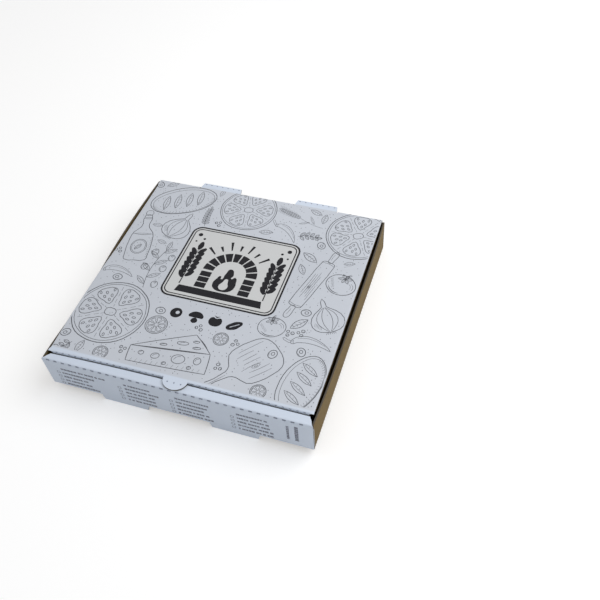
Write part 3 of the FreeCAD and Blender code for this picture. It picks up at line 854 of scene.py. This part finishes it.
def citrus(radius, cells, weight):
    strokes = [oval(0, 0, radius, radius, 0, 14, 0.01, 1.3 * weight),
               oval(0, 0, radius * 0.87, radius * 0.87, 0, 14, 0.0, 0.8 * weight)]
    segment = ((0.16, 0), (0.5, -0.85), (0.74, -1), (0.78, 0), (0.74, 1), (0.5, 0.85))
    for cell in range(cells):
        middle = 2 * math.pi * cell / cells
        spread = 2.2 / cells
        outline = [polar(radius * reach, middle + side * spread) for reach, side in segment]
        strokes.append((True, outline, 0.9 * weight))
    return strokes


def thyme(half, rows):
    strokes = [bow(0, -half, 0, half, 2, 1.0)]
    for row in range(rows):
        y = half * (1.6 * row / (rows - 1) - 0.75)
        x = 2 * (1 - (y / half) ** 2) * -1
        for side in (-1, 1):
            strokes += leaf(x, y, 7.4 - 2.2 * row / rows, 3.1, math.pi / 2 - side * 0.9, 0)
    return strokes + leaf(0, half, 6, 2.8, math.pi / 2, 0)


def peel():
    blade = [(-13, 46), (-21, 40), (-24, 28), (-24, 10), (-20, 0), (-8, -6), (-3.6, -12), (-3.2, -40),
             (-4, -52), (0, -56), (4, -52), (3.2, -40), (3.6, -12), (8, -6), (20, 0), (24, 10), (24, 28),
             (21, 40), (13, 46), (0, 47.5)]
    strokes = [(True, blade, 1.3), oval(0, -51, 1.4, 1.8, 0, 8, 0.0, 0.9)]
    for x in (-17, -11.5, -6, -1, 5, 10, 16):
        start = dice.uniform(2, 12)
        strokes.append(bow(x, start, x + dice.uniform(-1, 1), start + dice.uniform(16, 30),
                           dice.uniform(-1, 1), 0.7))
    return strokes + [oval(6, 18, 2, 4.5, 0, 8, 0.05, 0.7), oval(6, 18, 0.8, 2, 0, 6, 0.05, 0.7),
                      bow(0, -14, 0.3, -42, 0.4, 0.7)]


def tomato():
    strokes = [oval(0, -1, 17, 14.5, 0, 14, 0.015, 1.3), bow(-12, -8, 4, -13, -3, 0.7),
               bow(-10.5, -9.5, 2, -13.4, -1.5, 0.7)]
    for angle in range(0, 360, 60):
        turn = math.radians(angle + 20)
        strokes += leaf(0, 9, 9.5 - 3 * abs(math.sin(turn)), 3.4, turn, 0)
    strokes += [bow(0, 9, 2.5, 17.5, 1, 1.2), bow(1.4, 9, 4, 17, 1, 1.0), bow(9, 6, 14, -2, 2, 0.7),
                bow(7, 4.4, 11.4, -2, 1.6, 0.6)]
    return strokes + [bow(-14.5 + step * 0.9, 1 - step * 1.3, -12.5 + step * 0.9, 4 - step * 1.3, 0, 0.6)
                      for step in range(9)]


def peppercorns():
    return [oval(0, 0, 1.7, 1.6, 0, 7, 0.06, 1.1), oval(4.6, 1.8, 1.4, 1.4, 0, 7, 0.06, 1.1),
            oval(1.6, 5, 1.5, 1.4, 0, 7, 0.06, 1.1), bow(-0.8, 0.2, 0.4, 0.9, 0.2, 0.7),
            bow(0.9, 5.2, 2, 5.9, 0.2, 0.7)]


def olive():
    return [oval(0, 0, 5, 4, 0.3, 10, 0.02, 1.2), oval(0.6, 0.2, 1.8, 1.6, 0.3, 7, 0.05, 1.0),
            bow(-3.4, 0.6, -1.6, 2.6, 0.4, 0.6)]


def add_spline(curve, points, closed, smooth, resolution):
    spline = curve.splines.new("BEZIER")
    spline.bezier_points.add(len(points) - 1)
    spline.use_cyclic_u = closed
    spline.resolution_u = resolution if smooth else 1
    for knot, (x, y) in zip(spline.bezier_points, points):
        knot.co = (x * MM, y * MM, 0)
        knot.handle_left_type = knot.handle_right_type = "AUTO" if smooth else "VECTOR"
    return spline.bezier_points


def put_in_scene(name, data):
    made = bpy.data.objects.new(name, data)
    bpy.context.scene.collection.objects.link(made)
    return made


def curve_to_mesh(name, curve, material):
    choose(put_in_scene(name, curve))
    bpy.ops.object.convert(target="MESH")
    shape = bpy.context.object
    shape.data.materials.clear()
    shape.data.materials.append(material)
    return shape


def drawn(name, strokes, material, width=LINE_WIDTH):
    """The strokes as one mesh of flat lines of ink."""
    curve = bpy.data.curves.new(name, "CURVE")
    curve.dimensions = "3D"
    curve.twist_mode = "Z_UP"
    curve.bevel_depth = width / 2 * MM
    curve.bevel_resolution = 0
    curve.use_fill_caps = True
    for closed, points, weight in strokes:
        for index, knot in enumerate(add_spline(curve, points, closed, len(points) > 2, 2)):
            at_end = not closed and index in (0, len(points) - 1)
            knot.radius = weight * (LINE_END if at_end else 1.0)
    lines = curve_to_mesh(name, curve, material)
    lines.data.transform(Matrix.Diagonal((1, 1, INK_FLATNESS, 1)))
    return lines


def lay(template, x, y, turn, size):
    """A copy of a drawing with its own mesh, turned and placed on the lid's plane, in millimetres."""
    copy = put_in_scene(template.name, template.data.copy())
    place = Matrix.Translation((x * MM, MIDDLE + y * MM, 0))
    copy.data.transform(place @ Matrix.Rotation(turn, 4, "Z") @ Matrix.Diagonal((size, size, 1, 1)))
    return copy


def join(pieces, name):
    choose(*pieces)
    if len(pieces) > 1:
        bpy.ops.object.join()
    joined = bpy.context.object
    joined.name = name
    joined.data.name = name
    return joined


def trim(piece, planes):
    """Cuts off what lies beyond each plane and closes the cut."""
    choose(piece)
    bpy.ops.object.mode_set(mode="EDIT")
    for point, normal in planes:
        bpy.ops.mesh.select_all(action="SELECT")
        bpy.ops.mesh.bisect(plane_co=point, plane_no=normal, use_fill=True, clear_outer=True)
    bpy.ops.object.mode_set(mode="OBJECT")


def settle_on_lid(piece, rise):
    for vertex in piece.data.vertices:
        at = vertex.co
        at.z += LID_TOP + lid_rise(at.x, at.y) + rise
    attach(piece, "lid")


DRAWINGS = {"tomato_slice": tomato_slice(34), "cheese": cheese_wedge(), "wheat": wheat_ear(),
            "rolling_pin": rolling_pin(), "garlic": garlic(), "loaf": loaf(), "chilli": chilli(),
            "olive_sprig": olive_sprig(), "bottle": oil_bottle(), "citrus": citrus(12, 8, 0.95),
            "lemon": citrus(7.4, 6, 0.75), "thyme": thyme(18, 7), "sprig": thyme(10, 4), "peel": peel(),
            "tomato": tomato(), "peppercorns": peppercorns(), "bay_leaf": leaf(-9, 0, 18, 7.5, 0.0, 4),
            "olive": olive()}
# The large drawings, listed one by one: x and y in millimetres from the lid's middle, turn, and size.
LAYOUT = [
    ("loaf", -90, 104, 0.45, 1.0), ("tomato_slice", -14, 108, 0.2, 0.92), ("wheat", 46, 110, 1.25, 0.50),
    ("tomato_slice", 112, 100, 0.5, 1.0), ("bottle", -111, 40, 0.2, 0.95), ("garlic", -79, 62, -0.3, 0.95),
    ("olive_sprig", -77, 0, 1.25, 0.86), ("rolling_pin", 85, 23, 1.30, 0.88), ("tomato", 113, 30, -0.3, 0.9),
    ("tomato_slice", -95, -64, 0.0, 1.12), ("cheese", -19, -88, 0.14, 1.02), ("chilli", -112, -12, 0.3, 0.62),
    ("peel", 50, -94, -0.75, 0.90), ("garlic", 112, -16, 0.5, 0.95), ("chilli", 106, -48, 0.35, 0.7),
    ("loaf", 110, -93, 1.35, 0.88), ("citrus", -44, -67, 0.0, 0.9), ("chilli", 38, 86, -0.3, 0.62),
    ("thyme", -53, 85, 0.1, 0.75), ("tomato", 64, -39, 0.2, 0.8)]
# The small ones fill the room between them: the reach that each needs, and its size.
SMALL = [("sprig", 11.5, 1.0), ("bay_leaf", 9.5, 1.1), ("lemon", 9.2, 1.0), ("chilli", 12, 0.36),
         ("bay_leaf", 7.5, 0.85), ("olive", 5.5, 1.0), ("bay_leaf", 6, 0.66), ("peppercorns", 5, 1.0)]
LABEL_MIDDLE = 20.2
ROW_LEVEL = -48.0
ink = ink_material("ink", INK_COLOUR)
templates = {name: drawn("drawing_" + name, strokes, ink) for name, strokes in DRAWINGS.items()}
spots = []


def put_down(name, x, y, turn, size):
    """Lays a drawing on the lid and notes the spots that its strokes take up, every 3 mm."""
    for closed, points, weight in DRAWINGS[name]:
        for (from_x, from_y), (to_x, to_y) in zip(points, points[1:] + points[:1] * closed):
            steps = 1 + int(math.hypot(to_x - from_x, to_y - from_y) / 3)
            for step in range(steps + 1):
                side = size * (from_x + (to_x - from_x) * step / steps)
                up = size * (from_y + (to_y - from_y) * step / steps)
                spots.append(turned(x, y, side, up, turn))
    return lay(templates[name], x, y, turn, size)


def room_at(x, y):
    """Free distance round a point of the lid, clear of drawings, label and the row under it."""
    label = math.hypot(max(abs(x) - 60, 0), max(abs(y - LABEL_MIDDLE) - 49.5, 0))
    row = math.hypot(max(abs(x) - 38, 0), max(abs(y - ROW_LEVEL) - 7, 0))
    return min([label, row] + [math.hypot(x - spot[0], y - spot[1]) for spot in spots])


large_print = join([put_down(*spot) for spot in LAYOUT], "lid_print_large")
pieces = []
for name, reach, size in SMALL:
    placed = 0
    for attempt in range(SMALL_TRIES):
        if placed == SMALL_OF_EACH:
            break
        x, y, turn = dice.uniform(-127, 127), dice.uniform(-114, 127), dice.uniform(0, 2 * math.pi)
        if room_at(x, y) > reach * 1.12:
            pieces.append(put_down(name, x, y, turn, size))
            placed += 1
dots = []
for attempt in range(DOT_TRIES):
    x, y = dice.uniform(-128, 128), dice.uniform(-115, 128)
    if room_at(x, y) > 2.0:
        dots.append((False, [(x - DOT_HALF, y), (x + DOT_HALF, y)], dice.uniform(1.2, 2.4)))
        spots.append((x, y))
templates["dots"] = drawn("drawing_dots", dots, ink)
pieces.append(lay(templates["dots"], 0, 0, 0, 1))
small_print = join(pieces, "lid_print_small")
lid_edges = [((LID_HALF - 1.2 * MM, 0, 0), (1, 0, 0)), ((1.2 * MM - LID_HALF, 0, 0), (-1, 0, 0)),
             ((0, BACK - 1 * MM, 0), (0, 1, 0)), ((0, LID_FRONT + PRINT_MARGIN, 0), (0, -1, 0))]
for piece in (large_print, small_print):
    trim(piece, lid_edges)
    settle_on_lid(piece, INK_RISE)
for template in templates.values():
    bpy.data.objects.remove(template)


# Label: a plain rounded field with a thick and a thin line round it, printed over the pattern.
# In it a bold brick oven with its fire, two ears of wheat and a crown of rays, and under it a row of
# four little things in the same bold black: olive, mushroom, tomato and leaf.
LABEL_COLOUR = (0.650, 0.660, 0.665)
LABEL_INK_COLOUR = (0.012, 0.012, 0.015)
LABEL_RISE = 0.13 * MM
LABEL_THICK = 0.03
CURVE_STEPS = 5
BRICKS = 9
BRICK_JOINT = 0.028
ARCH_LOW, ARCH_HIGH = 17.5, 29.0
ARCH_LEVEL = -8.0
COURSE = 7.6
RAYS = 7
GRAIN_ROWS = 6


def label_board():
    material, shader, place, (x, y, z) = new_material("label_paper", LABEL_COLOUR, 0.5)
    fleck = paper_fleck(place)
    colour = fleck.vary(LABEL_COLOUR, 0.98, 1.02)
    dress(shader, colour, fleck * 0.08 + 0.48, washboard(place, y), 0.05 * MM, 0.5)
    return material


def rounded_box(half_x, half_y, radius):
    points = []
    for corner_x, corner_y, first in ((1, 1, 0), (-1, 1, 90), (-1, -1, 180), (1, -1, 270)):
        for step in range(CURVE_STEPS + 1):
            side, up = polar(radius, math.radians(first + 90 * step / CURVE_STEPS))
            points.append((corner_x * (half_x - radius) + side, corner_y * (half_y - radius) + up))
    return points


def shift(points, x, y, turn=0.0, size=1.0):
    return [turned(x, y, size * side, size * up, turn) for side, up in points]


def ring(x, y, radius, count):
    return shift([polar(radius, 2 * math.pi / count * step) for step in range(count)], x, y)


def filled_shape(name, outlines, material):
    """Closed outlines in millimetres as one flat sheet of ink. One inside another is a hole."""
    curve = bpy.data.curves.new(name, "CURVE")
    curve.dimensions = "2D"
    curve.fill_mode = "BOTH"
    curve.extrude = LABEL_THICK * MM
    for points, smooth in outlines:
        add_spline(curve, points, True, smooth, CURVE_STEPS)
    return curve_to_mesh(name, curve, material)


def print_on_lid(name, groups, material, y, rise):
    """Groups of outlines as one piece on the lid, cut along its panels so that it follows the crown."""
    piece = join([filled_shape(name, outlines, material) for outlines in groups], name)
    bpy.ops.object.mode_set(mode="EDIT")
    for axis in (0, 1):
        score(axis, [step * PANEL_STEP for step in range(-5, 6)])
    bpy.ops.object.mode_set(mode="OBJECT")
    piece.data.transform(Matrix.Translation((0, MIDDLE + y * MM, 0)))
    settle_on_lid(piece, rise)


label_ink = ink_material("label_ink", LABEL_INK_COLOUR)
field = [[(rounded_box(59.4, 48.6, 9.5), False)]]
print_on_lid("label_field", field, label_board(), LABEL_MIDDLE, LABEL_RISE)
print_on_lid("label_frame", [
    [(rounded_box(60.6, 49.8, 10.4), False), (rounded_box(58.8, 48.0, 9.0), False)],
    [(rounded_box(57.3, 46.5, 7.4), False), (rounded_box(56.2, 45.4, 6.6), False)]],
    label_ink, LABEL_MIDDLE, LABEL_RISE + INK_RISE)

emblem = []
for brick in range(BRICKS):
    start = math.pi * brick / BRICKS + BRICK_JOINT
    end = math.pi * (brick + 1) / BRICKS - BRICK_JOINT
    corners = [polar(ARCH_LOW, start), polar(ARCH_HIGH, start), polar(ARCH_HIGH, (start + end) / 2),
               polar(ARCH_HIGH, end), polar(ARCH_LOW, end), polar(ARCH_LOW, (start + end) / 2)]
    emblem.append([(shift(corners, 0, ARCH_LEVEL), False)])
for side in (-1, 1):
    for course in range(3):
        low = ARCH_LEVEL - 1 - COURSE * (course + 1)
        high = low + COURSE - 1
        emblem.append([([(side * ARCH_LOW, low), (side * ARCH_HIGH, low),
                         (side * ARCH_HIGH, high), (side * ARCH_LOW, high)], False)])
emblem.append([([(-46, -42), (46, -42), (44, -33.5), (-44, -33.5)], False)])
flame = [(0, 19), (5.5, 11.5), (4.6, 6.5), (8.4, 9), (11.5, 2), (12, -4), (9, -10), (0, -12.6), (-9, -10),
         (-12, -4), (-10.6, 2), (-7, 7.5), (-5.4, 3.5), (-3.4, 11)]
ember = [(0.6, 5), (3.4, -1), (4.8, -5), (3, -9), (0, -10), (-3.4, -8.6), (-4.6, -5), (-2.6, -0.6)]
emblem.append([(shift(flame, 0, -19.5, 0, 0.98), True), (shift(ember, 0, -19.5), True)])
for ray in range(RAYS):
    angle = math.radians(42 + 16 * ray)
    across_x, across_y = polar(1, angle + math.pi / 2)
    tip = 40.0 if ray % 2 else 44.5
    ray_shape = []
    for reach, half in ((32.5, 0.7), (32.5, -0.7), (tip, -1.5), (tip, 1.5)):
        x, y = polar(reach, angle)
        ray_shape.append((x + across_x * half, y + across_y * half))
    emblem.append([(shift(ray_shape, 0, ARCH_LEVEL + 1), False)])
grain = [(0, 0), (2.6, 3), (3.0, 7), (0.6, 11), (-1.8, 7.4), (-1.9, 3)]
for side in (-1, 1):
    emblem.append([([(side * 45.3, -32), (side * 44.1, -32), (side * 43.5, 16), (side * 44.1, 16)], False)])
    for row in range(GRAIN_ROWS):
        for lean in (-1, 1):
            base_x = side * 44.2 + lean * 1.1 - side * row * 0.1
            emblem.append([(shift(grain, base_x, -24 + row * 6.6 + (lean > 0) * 2.4, -lean * 0.6), True)])
    emblem.append([(shift(grain, side * 43.8, 16.5, 0, 1.1), True)])
    for x, y, size in ((50, 38, 2.4), (43.5, 33, 1.4), (51, 28, 1.1)):
        emblem.append([(ring(side * x, y, size, 8), True)])
print_on_lid("label_emblem", emblem, label_ink, LABEL_MIDDLE, LABEL_RISE + INK_RISE)

cap = [(-7.4, 0), (-5.6, 4.6), (0, 6.6), (5.6, 4.6), (7.4, 0), (3, -0.8), (-3, -0.8)]
stalk = [(-2, -1.8), (2, -1.8), (2.8, -6.2), (-2.8, -6.2)]
fruit = [(0, 3.4), (4, 4.6), (6.6, 1), (5.2, -4), (0, -6), (-5.2, -4), (-6.6, 1), (-4, 4.6)]
crown = [(0, 4.2), (3.4, 6.8), (0, 5.8), (-3.4, 6.8)]
blade = [(-7, -4.5), (-3, 2.6), (3, 5.6), (7, 5), (5.4, -0.6), (0.6, -5)]
rib = [(-4, -2.6), (4.2, 3.2), (4.7, 2.6), (-3.4, -3.2)]
print_on_lid("label_row", [
    [(ring(-31.5, ROW_LEVEL, 6, 8), True), (ring(-30.2, ROW_LEVEL + 0.6, 2, 6), True)],
    [(shift(cap, -11, ROW_LEVEL), True)], [(shift(stalk, -11, ROW_LEVEL), True)],
    [(shift(fruit, 9.5, ROW_LEVEL), True)], [(shift(crown, 9.5, ROW_LEVEL), False)],
    [(shift(blade, 29, ROW_LEVEL), True), (shift(rib, 29, ROW_LEVEL), False)]], label_ink, 0, INK_RISE)


# Front wall's print: four columns of tick boxes, each with rows of plain bars, and two short upright
# columns near the right end, all printed on the coat in a softer ink than the lid's.
WALL_INK_COLOUR = (0.230, 0.245, 0.300)
WALL_INK_RISE = 0.02 * MM
COLUMNS = [(-121, -117, 44), (-56.4, -51, None), (-3.7, 1, None), (56.3, 61, None)]
ROWS = (28.9, 22.7, 16.7, 10.7, 4.8)
BAR_WIDTH = 2.9
BAR_FLATNESS = 0.25
BAR_GAP = 0.5
WORD_GAP = 1.6
BOX_HALF = 1.5
BOX_LINE = 0.7
bars = []
box_lines = []
for box_x, text_x, title in COLUMNS:
    for row, level in enumerate(ROWS):
        end = text_x + (title if title and row == 0 else dice.uniform(25, 35))
        x = text_x
        while x < end:
            block = dice.uniform(1.5, 3.4)
            bars.append((False, [(x, level), (x + block, level)], dice.uniform(1.0, 1.28)))
            x += block + (BAR_GAP if dice.random() < 0.8 else WORD_GAP)
        if row:
            corners = [(box_x + BOX_HALF * side, level + BOX_HALF * up)
                       for side, up in ((-1, -1), (1, -1), (1, 1), (-1, 1))]
            sides = zip(corners, corners[1:] + corners[:1])
            box_lines += [(False, [start, end], 1.0) for start, end in sides]
for x, weight in ((109.0, 1.15), (117.2, 1.6)):
    y = 9.0
    while y < 30:
        block = dice.uniform(1.5, 3.2)
        bars.append((False, [(x, y), (x, y + block)], weight * dice.uniform(0.9, 1.1)))
        y += block + BAR_GAP
wall_ink = ink_material("wall_ink", WALL_INK_COLOUR)
wall_bars = drawn("wall_bars", bars, wall_ink, BAR_WIDTH)
wall_bars.data.transform(Matrix.Diagonal((1, 1, BAR_FLATNESS, 1)))
wall_print = join([wall_bars, drawn("wall_boxes", box_lines, wall_ink, BOX_LINE)], "front_wall_print")
upright = Matrix.Rotation(math.pi / 2, 4, "X")
wall_print.data.transform(Matrix.Translation((0, FRONT - WALL_INK_RISE, BASE)) @ upright)
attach(wall_print, "tray")


# Studio: a pale floor that the two feet and the base's rear edge touch, and soft light from above.
# The camera stands where the photograph was taken from, to the right of the box's front.
CAMERA_AT = (242.85, -431.81, 588.13)
CAMERA_TURN = Matrix(((0.95137, -0.20407, 0.23075), (0.30458, 0.73514, -0.60566),
                      (-0.04604, 0.64649, 0.76153)))
LENS = 43.43
SENSOR = 36
FLOOR_SIZE = 8
FLOOR_COLOUR = (0.80, 0.80, 0.80)
FLOOR_GLOW = 0.38
WORLD_LIGHT = 0.50
KEY_LIGHT = 7.2
KEY_SIZE = 1.1
KEY_AT = Vector((0.62, 0.30, 1.02))


def seen_directly(place):
    """1 for rays from the camera, and for those that a gloss or a clear film sends on, otherwise 0."""
    camera_ray, glossy_ray, through_ray = (
        place.node("ShaderNodeLightPath", output=name)
        for name in ("Is Camera Ray", "Is Glossy Ray", "Is Transmission Ray"))
    return place.maths("MINIMUM", camera_ray + glossy_ray + through_ray, 1.0)


def grey(level):
    return (level, level, level, 1.0)


camera_data = bpy.data.cameras.new("camera")
camera_data.lens = LENS
camera_data.sensor_width = SENSOR
camera_data.clip_start = 0.01
camera = put_in_scene("camera", camera_data)
camera.matrix_world = Matrix.Translation(Vector(CAMERA_AT) * MM) @ CAMERA_TURN.to_4x4()
bpy.context.scene.camera = camera

choose()
bpy.ops.mesh.primitive_plane_add(size=FLOOR_SIZE, location=(0, FRONT, 0))
floor = bpy.context.object
floor.name = "floor"
floor.rotation_euler = (math.atan2(BASE, BACK - FRONT - FOLD), 0, 0)
bpy.ops.object.transform_apply(location=True, rotation=True, scale=True)
paper, paper_shader, place, axes = new_material("floor_paper", FLOOR_COLOUR, 0.9)
paper_shader.inputs["Emission Strength"].default_value = 1.0
wire_to(paper_shader, "Emission Color", seen_directly(place).mix(grey(0), grey(FLOOR_GLOW)))
floor.data.materials.append(paper)

world = bpy.data.worlds.new("studio")
world.use_nodes = True
bpy.context.scene.world = world
strength = seen_directly(Wire(world.node_tree)).mix(grey(WORLD_LIGHT), grey(1.0))
wire_to(world.node_tree.nodes["Background"], "Color", strength)

key_data = bpy.data.lights.new("key", "AREA")
key_data.shape = "DISK"
key_data.size = KEY_SIZE
key_data.energy = KEY_LIGHT
key = put_in_scene("key", key_data)
key.location = KEY_AT
key.rotation_euler = (-KEY_AT).to_track_quat("-Z", "Y").to_euler()

bpy.context.scene.view_settings.view_transform = "Standard"
